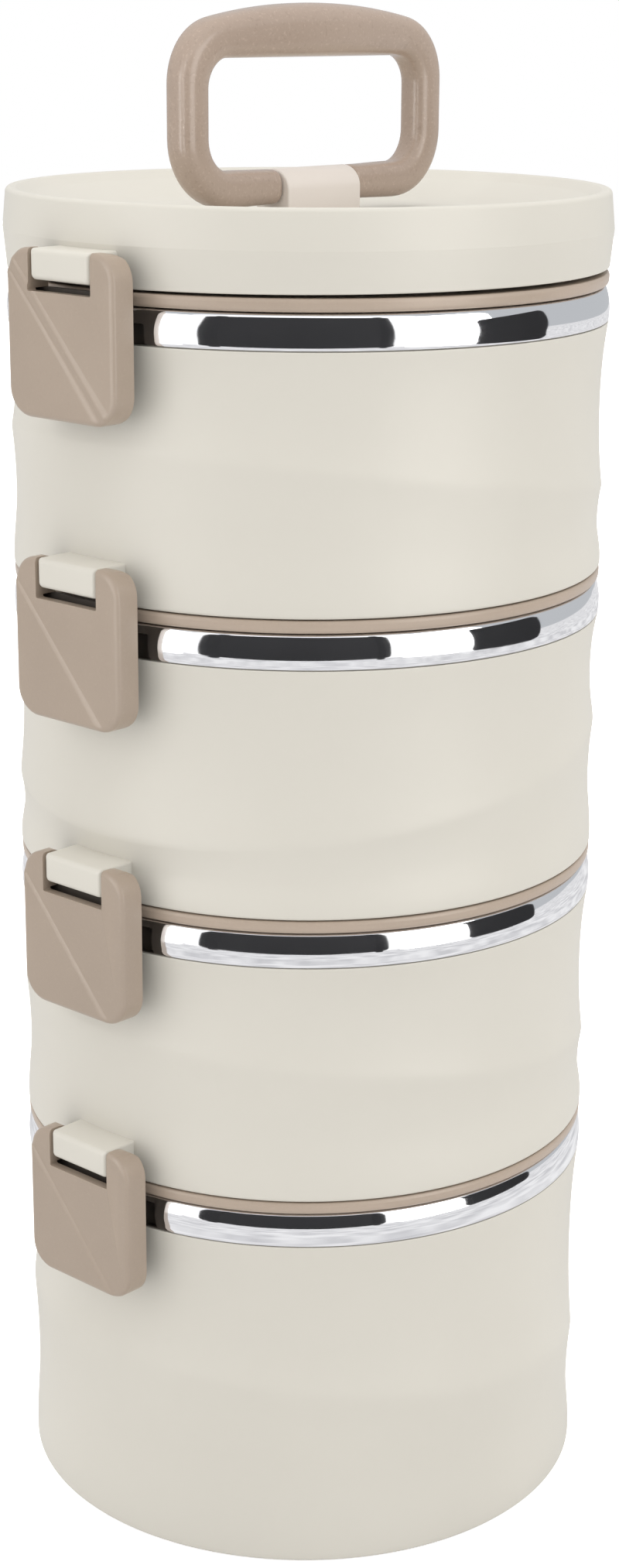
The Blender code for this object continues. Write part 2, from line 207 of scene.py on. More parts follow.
def soft_fronted(outline, back, front, fillet):
    """A block facing x whose front edge is rounded; outline(inset) gives its (y, z) view."""
    side = math.copysign(1, front - back)
    rings = [[(back, y, z) for y, z in outline(0)]]
    for turn in quarter(6):
        depth = front - side * fillet * (1 - math.sin(turn))
        rings.append([(depth, y, z) for y, z in outline(fillet * (1 - math.cos(turn)))])
    return loft(rings)


def circle(centre, radius, steps=32):
    return [(centre[0] + radius * math.cos(2 * math.pi * step / steps),
             centre[1] + radius * math.sin(2 * math.pi * step / steps))
            for step in range(steps)]


def apply_modifiers(thing, smooth):
    """Give an object the mesh that its modifiers make, and shade it."""
    graph = bpy.context.evaluated_depsgraph_get()
    mesh = bpy.data.meshes.new_from_object(thing.evaluated_get(graph))
    old = thing.data
    thing.modifiers.clear()
    thing.data = mesh
    bpy.data.meshes.remove(old)
    shade(mesh, smooth)


def combine(target, work, operation, smooth=30):
    """Boolean a bmesh into an object, then apply it and forget the tool."""
    tool = new_object("tool", work)
    step = target.modifiers.new("combine", "BOOLEAN")
    step.object = tool
    step.operation = operation
    step.solver = "EXACT"
    apply_modifiers(target, smooth)
    bpy.data.objects.remove(tool, do_unlink=True)


def soften(thing, width, steps):
    """Round the crisp edges of a block-like piece."""
    step = thing.modifiers.new("soften", "BEVEL")
    step.width = width
    step.segments = steps
    step.limit_method = "ANGLE"
    step.angle_limit = math.radians(50)
    apply_modifiers(thing, 35)


def place(thing, body, node, surface):
    """Give a piece its material and its body, and hide the CAD node it stands for."""
    thing.data.materials.clear()
    thing.data.materials.append(surface)
    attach(thing, body)
    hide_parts(node)


# Materials ------------------------------------------------
def add_node(tree, kind, values=None):
    """New shader node, with plain values for some of its inputs."""
    made = tree.nodes.new(f"ShaderNode{kind}")
    for socket, value in (values or {}).items():
        made.inputs[socket].default_value = value
    return made


class Surface:
    """A Principled material with helpers for the node chains that vary it."""

    def __init__(self, name, colour, roughness, metallic=0.0):
        self.material = bpy.data.materials.new(name)
        self.material.use_nodes = True
        self.tree = self.material.node_tree
        self.shader = self.tree.nodes["Principled BSDF"]
        self.set("Base Color", (*colour, 1))
        self.set("Roughness", roughness)
        self.set("Metallic", metallic)
        self.spot = add_node(self.tree, "TexCoord")

    def set(self, socket, value):
        self.shader.inputs[socket].default_value = value

    def noise(self, scale, detail=3.0, stretch=(1, 1, 1)):
        """Noise in object space, with scale in features per metre."""
        mapping = add_node(self.tree, "Mapping", {"Scale": stretch})
        self.tree.links.new(self.spot.outputs["Object"], mapping.inputs["Vector"])
        made = add_node(self.tree, "TexNoise", {"Scale": scale, "Detail": detail})
        self.tree.links.new(mapping.outputs["Vector"], made.inputs["Vector"])
        return made.outputs["Fac"]

    def ramp(self, source, stops):
        """Colour ramp over a value between two stops, each a (position, colour)."""
        made = add_node(self.tree, "ValToRGB")
        for element, (position, colour) in zip(made.color_ramp.elements, stops):
            element.position = position
            element.color = (*colour, 1)
        self.tree.links.new(source, made.inputs["Fac"])
        return made.outputs["Color"]

    def grey(self, source, low, high):
        """Stretch a value between 0 and 1 to lie between low and high."""
        made = add_node(self.tree, "MapRange", {"To Min": low, "To Max": high})
        self.tree.links.new(source, made.inputs["Value"])
        return made.outputs["Result"]

    def mottled(self, colour, source, dark, light):
        """A colour that varies with a value, between a darker and a lighter share of itself."""
        return self.ramp(source, [(0.3, scaled(colour, dark)), (0.7, scaled(colour, light))])

    def plain(self, colour):
        """A colour that is the same all over."""
        made = add_node(self.tree, "RGB")
        made.outputs["Color"].default_value = (*colour, 1)
        return made.outputs["Color"]

    def blend(self, factor, first, second):
        """Mix two colours by a factor; the Mix node's sockets 6, 7 and 2 are its colours."""
        made = add_node(self.tree, "Mix")
        made.data_type = "RGBA"
        self.tree.links.new(factor, made.inputs["Factor"])
        self.tree.links.new(first, made.inputs[6])
        self.tree.links.new(second, made.inputs[7])
        return made.outputs[2]

    def link(self, source, socket):
        self.tree.links.new(source, self.shader.inputs[socket])

    def roughen(self, source, low, high):
        """Let a value vary the roughness."""
        self.link(self.grey(source, low, high), "Roughness")

    def bump(self, source, strength, distance, under=None):
        """Raise the surface by a value, on top of an earlier bump if under is given."""
        made = add_node(self.tree, "Bump", {"Strength": strength, "Distance": distance})
        self.tree.links.new(source, made.inputs["Height"])
        if under is not None:
            self.tree.links.new(under, made.inputs["Normal"])
        self.link(made.outputs["Normal"], "Normal")
        return made.outputs["Normal"]


def scaled(colour, share):
    """A colour made darker or lighter."""
    return tuple(channel * share for channel in colour)


GRAIN = 0.04 * MM           # depth of a fine surface grain
IVORY = (0.628, 0.602, 0.541)
# The saddle's ivory is pinker than the rest, its own tint, and lighter, which is painted light on
# its upward-facing arch.
PINK_LIT_SADDLE_IVORY = (0.71, 0.65, 0.60)
TAUPE = (0.360, 0.288, 0.228)
# The sealing lids' taupe is the clips' taupe made lighter: painted light on the flange.
LIT_LID_TAUPE = (0.43, 0.345, 0.276)
HANDLE_TAUPE = (0.388, 0.303, 0.246)
CHROME = (0.93, 0.93, 0.94)
SILICONE = (0.62, 0.58, 0.53)


def ivory_plastic(name, colour):
    """Satin moulded plastic: barely mottled, with a very fine spark-eroded grain."""
    surface = Surface(name, colour, 0.42)
    surface.link(surface.mottled(colour, surface.noise(22, 4), 0.985, 1.012), "Base Color")
    surface.roughen(surface.noise(60, 2), 0.38, 0.47)
    waves = surface.bump(surface.noise(90, 2), 0.05, 0.6 * MM)
    surface.bump(surface.noise(2600, 2), 0.10, GRAIN, waves)
    surface.set("Specular IOR Level", 0.45)
    return surface.material


def taupe_plastic(name, colour, speckle, roughness):
    """Taupe plastic with fine mineral flecks; speckle sets how strongly they show."""
    surface = Surface(name, colour, roughness)
    cloud = surface.mottled(colour, surface.noise(35, 3), 0.965, 1.03)
    light = surface.ramp(surface.noise(1500, 4), [(0.56, (0, 0, 0)), (0.70, (speckle,) * 3)])
    dark = surface.ramp(surface.noise(1250, 4), [(0.58, (0, 0, 0)), (0.72, (speckle,) * 3)])
    flecked = surface.blend(light, cloud, surface.plain(scaled(colour, 1.42)))
    flecked = surface.blend(dark, flecked, surface.plain(scaled(colour, 0.66)))
    surface.link(flecked, "Base Color")
    surface.roughen(surface.noise(140, 3), roughness - 0.05, roughness + 0.06)
    surface.bump(surface.noise(1900, 3), 0.18 + 0.3 * speckle, GRAIN)
    return surface.material


def mirror_steel():
    """Polished stainless steel, with faint handling marks."""
    surface = Surface("mirror_steel", CHROME, 0.05, 1.0)
    surface.roughen(surface.noise(70, 5, (1, 1, 3)), 0.02, 0.085)
    surface.bump(surface.noise(160, 2), 0.04, 0.3 * MM)
    return surface.material


def bowl_steel():
    """The bowl's satin inside, brushed round the axis."""
    surface = Surface("bowl_steel", scaled(CHROME, 0.92), 0.2, 1.0)
    lines = surface.noise(900, 3, (0.04, 0.04, 1))
    surface.roughen(lines, 0.14, 0.30)
    surface.bump(lines, 0.08, GRAIN)
    return surface.material


def silicone():
    """Soft matt silicone."""
    surface = Surface("silicone", SILICONE, 0.6)
    surface.link(surface.mottled(SILICONE, surface.noise(50, 3), 0.96, 1.04), "Base Color")
    surface.bump(surface.noise(1500, 3), 0.2, GRAIN)
    return surface.material


def drawn_steel():
    """Bright drawn wire and screw steel."""
    surface = Surface("drawn_steel", (0.62, 0.62, 0.64), 0.28, 1.0)
    lines = surface.noise(1200, 3, (1, 0.05, 1))
    surface.roughen(lines, 0.2, 0.38)
    surface.bump(lines, 0.1, 0.03 * MM)
    return surface.material


# Shells ---------------------------------------------------
CREASE_Z = 24.5 * MM        # mean height of the moulded crease over the shell's foot
TALL_CREASE_Z = 37.0 * MM   # and on the tall bottom tier
CREASE_TILT = 10.0 * MM     # the crease is a tilted ring, high on one clip's side
CREASE_POWER = 2.2          # how sharply the wall turns in to the crease and out to the band
CREASE_ROUND = 0.03 * MM    # taken off the crease's very edge
FLARE = 0.2 * MM            # the shell's ends stand this much inside the steel band
SHELL_WALL = 2.4 * MM
FOOT_EDGE = 1.6 * MM        # height of the rounded edge at the shell's foot
HEAD_EDGE = 0.3 * MM        # and of the one under the steel band
WALL_STEPS = 48


def crease_height(tier, turn):
    """Height of the crease above the shell's foot at an angle round the body."""
    middle = CREASE_Z if tier < TIERS[-1] else TALL_CREASE_Z
    lean = 1 if tier == 2 else -1
    return middle + lean * CREASE_TILT * math.cos(turn)


def shoulder_height(tier):
    """Where the shell's outer wall ends, just under the steel band."""
    return top_of(f"tier_{tier}_bowl") - BAND_H - GAP


def ease(share):
    """Smooth step from 0 to 1."""
    return share * share * (3 - 2 * share)


def wall_point(tier, share):
    """A point of the shell's outer wall: share 0 is its foot, 1 the edge under the band."""
    foot = BOTTOM[tier] + FOOT_EDGE
    head = shoulder_height(tier) - HEAD_EDGE
    outer = BODY_R - FLARE
    valley_r = outer - 0.95 * MM
    ridge_r = outer - 0.15 * MM
    waist_r = outer - 1.3 * MM
    below = 0.42            # share of the points that lies below the crease

    def at(turn):
        ridge = BOTTOM[tier] + crease_height(tier, turn)
        valley = foot + 0.5 * (ridge - foot)
        waist = ridge + 0.5 * (head - ridge)
        if share < below:
            along = share / below
            height = foot + (ridge - foot) * along
        else:
            along = (share - below) / (1 - below)
            height = ridge + (head - ridge) * along
        if height < valley:
            radius = outer + (valley_r - outer) * ease((height - foot) / (valley - foot))
        elif height <= ridge:
            rise = (height - valley) / (ridge - valley)
            radius = valley_r + (ridge_r - valley_r) * rise ** CREASE_POWER
        elif height < waist:
            fall = 1 - (height - ridge) / (waist - ridge)
            radius = waist_r + (ridge_r - waist_r) * fall ** CREASE_POWER
        else:
            rise = (height - waist) / (head - waist)
            radius = waist_r + (outer - waist_r) * rise ** CREASE_POWER
        near = abs(height - ridge) / (1.2 * MM)
        return radius - CREASE_ROUND * max(0.0, 1 - near), height
    return at


def lug_block(side, tier):
    """The moulded block that fills the notch of a joint's clip and carries its pin."""
    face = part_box("lid_shell")[1].x
    half = 9.2 * MM
    top = CLIP_TOP[tier]
    foot = top - 6.65 * MM
    corner = 1.2 * MM
    root = BODY_R - 2 * MM

    def outline(inset):
        left, low, high = -half + inset, foot + inset, top - inset
        fillet = corner - 0.8 * inset
        return rectangle(left, low, -left, high, fillet, 0.5 * fillet)
    return soft_fronted(outline, side * root, side * face, corner)


def pin_bores(tier, reach):
    """Rods that cut the bores for the two hinge pins of a joint."""
    work = None
    for _, side in SIDES:
        centre = (side * HINGE_X, CLIP_TOP[tier] - HINGE_DROP)
        work = prism(circle(centre, 1.3 * MM), -reach, reach, "y", work)
    return work


def catch_ledges(tier):
    """The ledges that the clip hooks snap under."""
    work = None
    half = 6.5 * MM
    top = CLIP_TOP[tier] - 20.8 * MM
    for _, side in SIDES:
        reach = side * (CLIP_LOW.x - GAP)
        root = side * (BODY_R - 2.1 * MM)
        outline = [(root, top - 4.4 * MM, 0), (reach, top - 3.0 * MM, 0.5 * MM),
                   (reach, top - 1.6 * MM, 0.5 * MM), (root, top, 0)]
        work = prism(rounded(outline, 3), -half, half, "y", work)
    return work


def add_lugs(thing, tier):
    """Mould the two clip lugs of a joint onto the piece above it, and bore them."""
    for _, side in SIDES:
        combine(thing, lug_block(side, tier), "UNION")
    combine(thing, pin_bores(tier, 12 * MM), "DIFFERENCE")


def add_shell(tier, surface):
    """Moulded shell with a recessed base, creased wall and a neck inside the steel band."""
    foot = BOTTOM[tier]
    recess = foot + 1.2 * MM
    floor = foot + 3.4 * MM
    top = top_of(f"tier_{tier}_shell")
    shoulder = shoulder_height(tier)
    outer = BODY_R - FLARE
    neck_r = BODY_R - STEEL - GAP
    inner = BODY_R - SHELL_WALL - 0.8 * MM + GAP
    outline = rounded([
        (0, recess, 0),
        (BODY_R - 8.0 * MM, recess, 0.5 * MM),
        (BODY_R - 7.0 * MM, foot, 0.5 * MM),
        (outer, foot, 1.0 * MM),
        (outer, foot + FOOT_EDGE, 0),
    ], closed=False)[:-1]
    outline += [wall_point(tier, step / WALL_STEPS) for step in range(WALL_STEPS + 1)]
    outline += rounded([
        (outer, shoulder - HEAD_EDGE, 0),
        (outer, shoulder, HEAD_EDGE),
        (neck_r, shoulder, 0.2 * MM),
        (neck_r, top, 0.3 * MM),
        (inner, top, 0.3 * MM),
        (inner, floor, 2.0 * MM),
        (0, floor, 0),
    ], closed=False)
    shell = new_object(f"tier_{tier}_shell_moulding", turned(outline))
    combine(shell, catch_ledges(tier), "UNION")
    if tier < TIERS[-1]:
        add_lugs(shell, tier + 1)
    place(shell, f"tier_{tier}", f"tier_{tier}_shell", surface)


# Bowls, sealing lids and their soft parts -----------------
BOWL_R = BODY_R - 3.2 * MM  # outside of the bowl's wall


def add_bowl(tier, polished, satin):
    """Pressed bowl whose rim folds out and down into the crowned, polished band."""
    low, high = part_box(f"tier_{tier}_bowl")
    foot, top = low.z, high.z
    outer = BOWL_R
    inner = outer - STEEL
    band_foot = top - BAND_H
    bend = 6.0 * MM         # between the bowl's wall and its floor
    lean = 0.95 * MM        # how far the band's upper edge leans in
    tuck = 0.10 * MM        # how far its lower edge turns in
    belly = 0.72            # where it is widest, as a share of its height from the top
    steps = 12
    crown = []
    for step in range(steps + 1):
        share = step / steps
        if share < belly:
            radius = BODY_R - lean * ((belly - share) / belly) ** 2
        else:
            radius = BODY_R - tuck * (share - belly) / (1 - belly)
        crown.append((radius, top - 0.35 * MM - (BAND_H - 0.7 * MM) * share))
    outside = rounded([
        (0, foot, 0), (outer, foot, bend), (outer, top - STEEL, 0.5 * MM),
        (BODY_R - STEEL - lean, top - STEEL, 0.3 * MM), (BODY_R - STEEL, top - 4.6 * MM, 1.0 * MM),
        (BODY_R - STEEL, band_foot, 0), (BODY_R - 0.2 * MM, band_foot, 0),
    ], closed=False)
    inside = rounded([
        (BODY_R - lean - 0.2 * MM, top - 0.1 * MM, 0), (BODY_R - lean - 0.6 * MM, top, 0),
        (inner, top, 0.6 * MM), (inner, foot + STEEL, bend), (0, foot + STEEL, 0),
    ], closed=False)
    outline = outside + list(reversed(crown)) + inside
    bowl = new_object(f"tier_{tier}_bowl_pressing", turned(outline), smooth=50)
    place(bowl, f"tier_{tier}", f"tier_{tier}_bowl", polished)
    bowl.data.materials.append(satin)
    for face in bowl.data.polygons:
        middle = face.center
        if math.hypot(middle.x, middle.y) < outer - 0.2 * MM or middle.z < band_foot - 1.5 * MM:
            face.material_index = 1


def add_inner_lid(tier, surface):
    """Sealing lid: rounded flange, plate with sunken rings, and a skirt with a seal groove."""
    top = top_of(f"tier_{tier}_inner_lid")
    foot = top_of(f"tier_{tier}_bowl") + GAP
    plate, sunk, underside = foot - 2.7 * MM, foot - 3.4 * MM, foot - 5.2 * MM
    groove_top, groove_foot = foot - 3.0 * MM, foot - 6.6 * MM
    skirt_foot = foot - 8.0 * MM
    hole = 4.0 * MM
    skirt = BOWL_R - STEEL - 0.5 * MM
    groove = skirt - 2.2 * MM
    skirt_inside = groove - 1.6 * MM
    outline = rounded([
        (hole, sunk, 0.2 * MM),
        (hole + 6 * MM, sunk, 0.6 * MM),
        (hole + 7 * MM, plate, 0.6 * MM),
        (groove - 6.0 * MM, plate, 0.6 * MM),
        (groove - 5.0 * MM, sunk, 0.6 * MM),
        (groove - 2.4 * MM, sunk, 1.0 * MM),
        (groove - 1.4 * MM, top, 0.8 * MM),
        (BODY_R - 0.5 * MM, top, 0.5 * MM),
        (BODY_R - 0.3 * MM, top - 0.8 * MM, 0.5 * MM),
        (BODY_R - 0.4 * MM, foot, 1.7 * MM),
        (skirt, foot, 0.2 * MM),
        (skirt, groove_top, 0.2 * MM),
        (groove, groove_top, 0.2 * MM),
        (groove, groove_foot, 0.2 * MM),
        (skirt, groove_foot, 0.2 * MM),
        (skirt, skirt_foot, 0.5 * MM),
        (skirt_inside, skirt_foot, 0.5 * MM),
        (skirt_inside, underside, 0.8 * MM),
        (hole, underside, 0.2 * MM),
    ])
    lid = new_object(f"tier_{tier}_inner_lid_moulding", turned(outline))
    place(lid, f"inner_lid_{tier}", f"tier_{tier}_inner_lid", surface)


def add_seal(tier, surface):
    """Silicone ring with two soft lips at its outer edge."""
    low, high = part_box(f"tier_{tier}_seal_ring")
    middle = (low.z + high.z) / 2
    outer = high.y
    inner = outer - 2.1 * MM
    root = inner + 1.0 * MM
    slit, lip = 0.2 * MM, 0.7 * MM      # half heights of the slit and of the two lips beside it
    outline = rounded([
        (inner, low.z, 0.3 * MM), (root, low.z, 0.3 * MM),
        (outer, middle - lip, 0.3 * MM), (outer, middle - slit, 0.2 * MM),
        (root + 0.1 * MM, middle, 0.2 * MM), (outer, middle + slit, 0.2 * MM),
        (outer, middle + lip, 0.3 * MM), (root, high.z, 0.3 * MM),
        (inner, high.z, 0.3 * MM),
    ], 3)
    ring = new_object(f"tier_{tier}_seal_lip", turned(outline))
    place(ring, f"inner_lid_{tier}", f"tier_{tier}_seal_ring", surface)


def add_vent_plug(tier, surface):
    """Steam plug: a dished cap with a nub in its middle, on a tapered stem."""
    low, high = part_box(f"tier_{tier}_vent_plug")
    cap = high.x
    stem = 3.7 * MM
    cap_foot = high.z - 1.2 * MM
    dish = high.z - 0.35 * MM
    outline = rounded([
        (0, low.z, 0), (stem - 0.6 * MM, low.z, 0.5 * MM), (stem, low.z + 1.4 * MM, 0.3 * MM),
        (stem, cap_foot, 0.1 * MM), (cap, cap_foot, 0.3 * MM),
        (cap - 0.5 * MM, high.z - 0.2 * MM, 0.4 * MM), (cap - 2.0 * MM, dish, 0.3 * MM),
        (1.6 * MM, dish, 0.2 * MM), (1.0 * MM, high.z, 0.3 * MM), (0, high.z, 0),
    ], 4)
    plug = new_object(f"tier_{tier}_vent_plug_cap", turned(outline, 64))
    place(plug, f"vent_plug_{tier}", f"tier_{tier}_vent_plug", surface)


# Clips ----------------------------------------------------
CLIP_SOFT = 1.4 * MM        # rounding of the clip's front edge
CLIP_HALF, CLIP_FOOT, CLIP_HEAD = CLIP_HIGH.y, CLIP_LOW.z, CLIP_HIGH.z
NOTCH_Z = CLIP_HEAD - 9.0 * MM


def clip_plate():
    """The plate of the right-hand clip of the top joint, before its notch is cut."""
    def outline(inset):
        left, low, high = -CLIP_HALF + inset, CLIP_FOOT + inset, CLIP_HEAD - inset
        below, above = 6.3 * MM - inset, 6.0 * MM - inset
        return rectangle(left, low, -left, high, below, above, 10)
    return soft_fronted(outline, CLIP_LOW.x, CLIP_HIGH.x, CLIP_SOFT)


def soft_ridge(start, end, fall, before=0.0):
    """Four fan lines that step the clip's face down from one depth to another.

    A line is its place beside the notch, its place above the foot and the face's fall there.
    """
    return [(start[0] + (start[1] - start[0]) * part, end[0] + (end[1] - end[0]) * part,
             before + (fall - before) * depth)
            for part, depth in ((0, 0), (0.28, 0.12), (0.72, 0.88), (1, 1))]


# The top joint's clips carry two ridges on their faces, the others one. In millimetres: the
# places of a ridge's two edges beside the notch and above the foot, and the face's fall after
# and before it.
TOP_RIDGES = (soft_ridge((-12.3, -11.1), (8.2, 11.4), 0.36)
              + soft_ridge((-8.8, -7.4), (12.6, 15.4), 0.50, 0.16))
LOWER_RIDGES = soft_ridge((-13.5, -11.8), (7.3, 10.9), 0.45)


def crease_face(clip, lines):
    """Press soft ridges into the clip's face, fanning from the notch's corner to the foot."""
    high, low = NOTCH_Z - 0.2 * MM, CLIP_FOOT + 2.5 * MM
    edge = CLIP_HIGH.x - CLIP_SOFT
    starts = [Vector((start * MM, high)) for start, _, _ in lines]
    ends = [Vector((end * MM, low)) for _, end, _ in lines]
    falls = [fall * MM for _, _, fall in lines]
    work = bmesh.new()
    work.from_mesh(clip.data)
    across = []
    for near, far in zip(starts, ends):
        along = (far - near).normalized()
        across.append(Vector((-along.y, along.x)))
        front = [face for face in work.faces
                 if all(vert.co.x > edge - 0.01 * MM for vert in face.verts)]
        parts = set(front)
        for face in front:
            parts.update(face.edges)
            parts.update(face.verts)
        bmesh.ops.bisect_plane(work, geom=list(parts), plane_co=(0, near.x, near.y),
                               plane_no=(0, across[-1].x, across[-1].y), dist=1e-7)
    for vert in work.verts:
        depth = min(1.0, max(0.0, (vert.co.x - edge) / CLIP_SOFT))
        away = [(vert.co.yz - near).dot(side) for near, side in zip(starts, across)]
        vert.co.x -= depth * fall_at(away, falls)
    work.to_mesh(clip.data)
    work.free()


def fall_at(away, falls):
    """Depth of the face at a spot, from its signed distances to the fan lines."""
    if away[0] <= 0:
        return falls[0]
    for index in range(1, len(away)):
        if away[index] <= 0:
            share = away[index - 1] / (away[index - 1] - away[index])
            return falls[index - 1] + (falls[index] - falls[index - 1]) * share
    return falls[-1]


def clip_side_view():
    """What is left of the plate seen from its edge: ears rounded about the pin."""
    radius = 3.5 * MM
    over = 1 * MM           # how far the tool reaches past the plate
    outline = [(HINGE_X - radius * math.cos(turn), HINGE_Z + radius * math.sin(turn))
               for turn in quarter(12)]
    outline += [(HINGE_X + over, CLIP_HEAD + over), (CLIP_HIGH.x + over, CLIP_HEAD + over),
                (CLIP_HIGH.x + over, CLIP_FOOT - over), (CLIP_LOW.x + 0.8 * MM, CLIP_FOOT - over),
                (CLIP_LOW.x, CLIP_FOOT + 1.6 * MM)]
    return prism(outline, -CLIP_HALF - over, CLIP_HALF + over, "y")


def rounded_box(low, high, fillet):
    """A block whose corners in the yz view are rounded."""
    outline = rectangle(*low[1:], *high[1:], fillet, fillet, 4)
    return prism(outline, low[0], high[0], "x")


def make_clip(lines):
    """One right-hand clip at the top joint with ridges on its face, and its inner faces, which
    take painted shade.
    """
    wall = 2.6 * MM
    behind, ahead, above = CLIP_LOW.x - 2 * MM, CLIP_HIGH.x + 2 * MM, CLIP_HEAD + 3 * MM
    rear = CLIP_LOW.x + 1.2 * MM
    inside = CLIP_HIGH.x - wall
    hollow_half = CLIP_HALF - wall
    hook_top, hook_foot = CLIP_HEAD - 24.6 * MM, CLIP_HEAD - 26.6 * MM
    notch_half = 9.65 * MM
    notch_lip = NOTCH_Z + 0.5 * MM
    smooth = 28
    clip = new_object("clip_master", clip_plate(), smooth)
    combine(clip, clip_side_view(), "INTERSECT", smooth)
    # The notch in front and behind, then the hollow below it, above the hook and below the hook.
    cuts = [
        ((rear, -notch_half, NOTCH_Z), (ahead, notch_half, above), 0.4 * MM),
        ((behind, -notch_half, notch_lip), (rear + 1 * MM, notch_half, above), 0),
        ((rear, -hollow_half, NOTCH_Z - 8 * MM), (inside, hollow_half, notch_lip), 0),
        ((behind, -hollow_half, hook_top), (inside, hollow_half, NOTCH_Z - 5 * MM), 1.0 * MM),
        ((behind, -hollow_half, CLIP_FOOT + 3.6 * MM), (inside, hollow_half, hook_foot), 3.0 * MM),
    ]
    for low, high, fillet in cuts:
        combine(clip, rounded_box(low, high, fillet), "DIFFERENCE", smooth)
    combine(clip, pin_bores(1, CLIP_HALF - 2.0 * MM), "DIFFERENCE", smooth)
    crease_face(clip, lines)
    soften(clip, 0.28 * MM, 2)
    # Faces inside the hollow and facing the body are listed for a dark taupe: painted shade.
    inner = []
    for face in clip.data.polygons:
        spot = face.center
        in_depth = spot.x < inside + 0.1 * MM and abs(spot.y) < hollow_half + 0.3 * MM
        in_height = CLIP_FOOT + 2 * MM < spot.z < notch_lip + 0.1 * MM
        if face.normal.x < -0.5 or (in_depth and in_height):
            inner.append(face.index)
    return clip, inner


def add_clips(surface, painted_shade_surface, pin_surface):
    """Copies of two master clips at every joint, with their pins, and with painted shade on the
    clips' inner faces.
    """
    masters = {1: make_clip(TOP_RIDGES), 2: make_clip(LOWER_RIDGES)}
    clips = []
    for tier in TIERS:
        lift = Matrix.Translation((0, 0, CLIP_TOP[tier] - CLIP_TOP[1]))
        master, inner = masters[min(tier, 2)]
        for word, side in SIDES:
            name = f"tier_{tier}_clip_{word}"
            clip = add_object(f"{name}_moulding", master.data.copy())
            clip.data.transform(lift @ Matrix.Rotation(0 if side > 0 else math.pi, 4, "Z"))
            place(clip, f"clip_{tier}_{word}", name, surface)
            # The inner faces get a far darker taupe: painted shade where the hollow lies in
            # shadow.
            clip.data.materials.append(painted_shade_surface)
            for index in inner:
                clip.data.polygons[index].material_index = 1
            add_pin(tier, word, side, pin_surface)
            clips.append(clip)
    for master, _ in masters.values():
        bpy.data.objects.remove(master, do_unlink=True)
    return clips


def add_pin(tier, word, side, surface):
    """Hinge pin with slightly domed ends."""
    name = f"tier_{tier}_clip_pin_{word}"
    low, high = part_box(name)
    radius = (high.z - low.z) / 2
    half = high.y
    outline = rounded([(0, -half, 0), (radius, -half, 0.35 * MM), (radius, half, 0.35 * MM),
                       (0, half, 0)], 3)
    pin = new_object(f"{name}_wire", turned(outline, 32))
    centre = Vector((side * HINGE_X, 0, (low.z + high.z) / 2))
    pin.data.transform(Matrix.Translation(centre) @ Matrix.Rotation(math.pi / 2, 4, "X"))
    place(pin, f"clip_{tier}_{word}", name, surface)


# Lid and handle -------------------------------------------
LID_WALL = 2.2 * MM
# The lid's foot runs a touch closer to the joint beside the left-hand clips.
LID_SETTLE = 0.3 * MM
LID_HIGH_SIDE = math.radians(-47.5)


def settled(radius, height, foot):
    """Lid outline point as a function of angle: only points near the foot move."""
    near = max(0.0, 1 - (height - foot) / (4 * MM))

    def at(turn):
        return radius, height + LID_SETTLE * near * math.cos(turn - LID_HIGH_SIDE)
    return at


def add_lid(surface):
    """Outer lid: skirt creased at mid-height, rounded rim, dish with a soft inner wall."""
    plane = top_of("tier_1_inner_lid") + GAP
    foot = plane + 0.45 * MM
    crease = plane + 9.6 * MM
    dish = foot_of("handle_saddle") - GAP
    underside = dish - LID_WALL
    dish_r = LID_R - 17.0 * MM
    skirt_inside = LID_R - 0.7 * MM - LID_WALL
    outline = rounded([
        (LID_R - 0.85 * MM, foot, 0.45 * MM),
        (LID_R - 0.02 * MM, crease - 0.3 * MM, 0.5 * MM),
        (LID_R - 0.9 * MM, RIM_Z, 1.1 * MM),
        (LID_R - 3.2 * MM, RIM_Z - 0.3 * MM, 1.2 * MM),
        (LID_R - 6.0 * MM, RIM_Z - 2.0 * MM, 5.0 * MM),
        (dish_r, dish, 12.0 * MM),
        (0, dish, 0),
        (0, underside, 0),
        (dish_r + 0.5 * MM, underside, 4.0 * MM),
        (LID_R - 5.1 * MM, RIM_Z - 4.2 * MM, 1.0 * MM),
        (skirt_inside, RIM_Z - 6.1 * MM, 1.0 * MM),
        (skirt_inside, foot, 0.3 * MM),
    ], 7)
    outline = [settled(radius, height, foot) for radius, height in outline]
    lid = new_object("lid_shell_moulding", turned(outline))
    add_lugs(lid, 1)
    holes = None
    for word, _ in SIDES:
        hole = circle(centre_of(f"saddle_screw_{word}"), 1.5 * MM)
        holes = prism(hole, dish - 5 * MM, dish + 1 * MM, "z", holes)
    combine(lid, holes, "DIFFERENCE")
    place(lid, "lid", "lid_shell", surface)


def add_lid_panel(surface):
    """Flat cover of the lid's underside, with a groove near its edge."""
    low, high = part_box("lid_inner_panel")
    radius = high.y
    groove = low.z + 0.6 * MM
    outline = rounded([
        (0, low.z, 0), (radius - 8 * MM, low.z, 0.4 * MM), (radius - 7.4 * MM, groove, 0.4 * MM),
        (radius - 3 * MM, groove, 0.4 * MM), (radius - 2.4 * MM, low.z, 0.4 * MM),
        (radius, low.z, 0.6 * MM), (radius, high.z, 0.4 * MM), (0, high.z, 0),
    ], 4)
    panel = new_object("lid_inner_panel_moulding", turned(outline))
    place(panel, "lid", "lid_inner_panel", surface)


